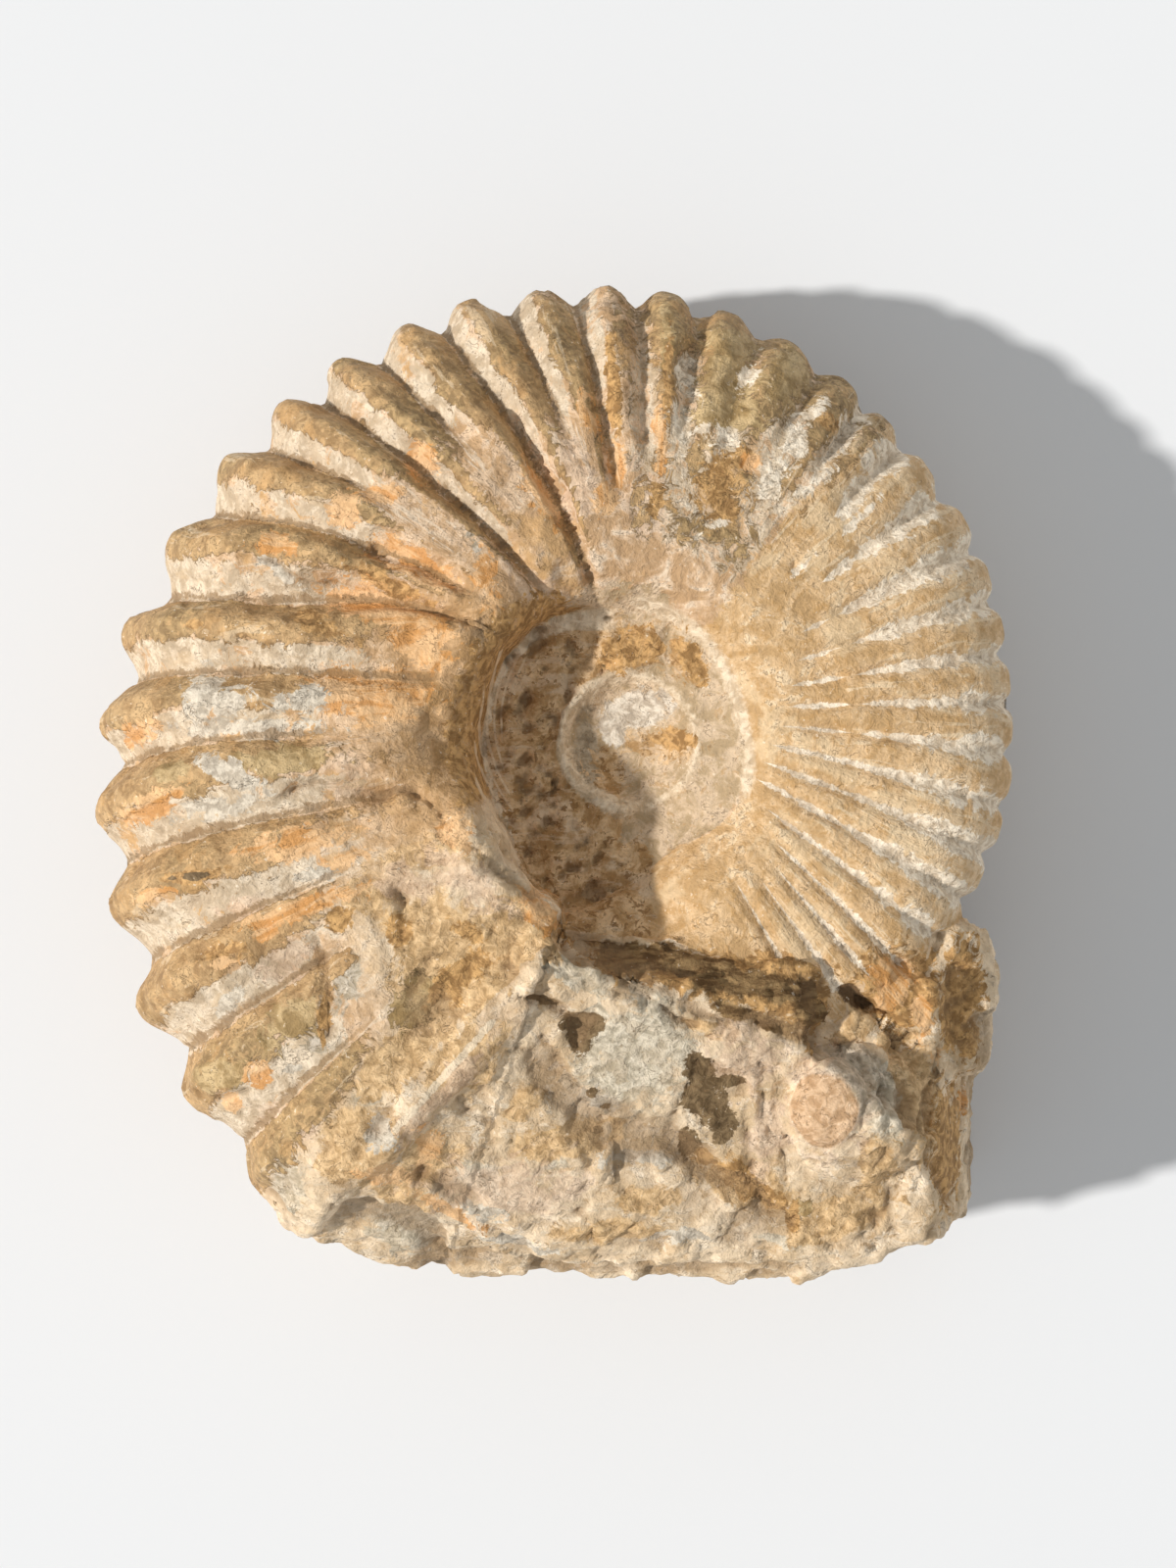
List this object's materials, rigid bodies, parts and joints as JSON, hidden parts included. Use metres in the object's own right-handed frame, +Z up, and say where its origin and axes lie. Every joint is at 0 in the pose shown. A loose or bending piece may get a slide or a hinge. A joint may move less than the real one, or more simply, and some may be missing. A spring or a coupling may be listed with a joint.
{
  "type": "fossil ammonite",
  "caption": "Fossil ammonite in ochre stone, lying on its flank: a ribbed, tightly coiled whorl with a deep navel and a broken mouth filled with rock.",
  "frame": {"origin": "under the middle of the bounding box, on the surface that the fossil rests on", "axes": "+Z up, out of the flank that is seen; +Y away from the broken mouth; the coil grows anticlockwise seen from +Z"},
  "size_m": [0.1294, 0.1422, 0.0624],
  "materials": {
    "fossil_stone": "dry weathered limestone, ochre and tan with chalky grooves, grey rock in the break"
  },
  "bodies": {
    "root": {"ammonite": "fossil_stone"}
  },
  "joints": []
}
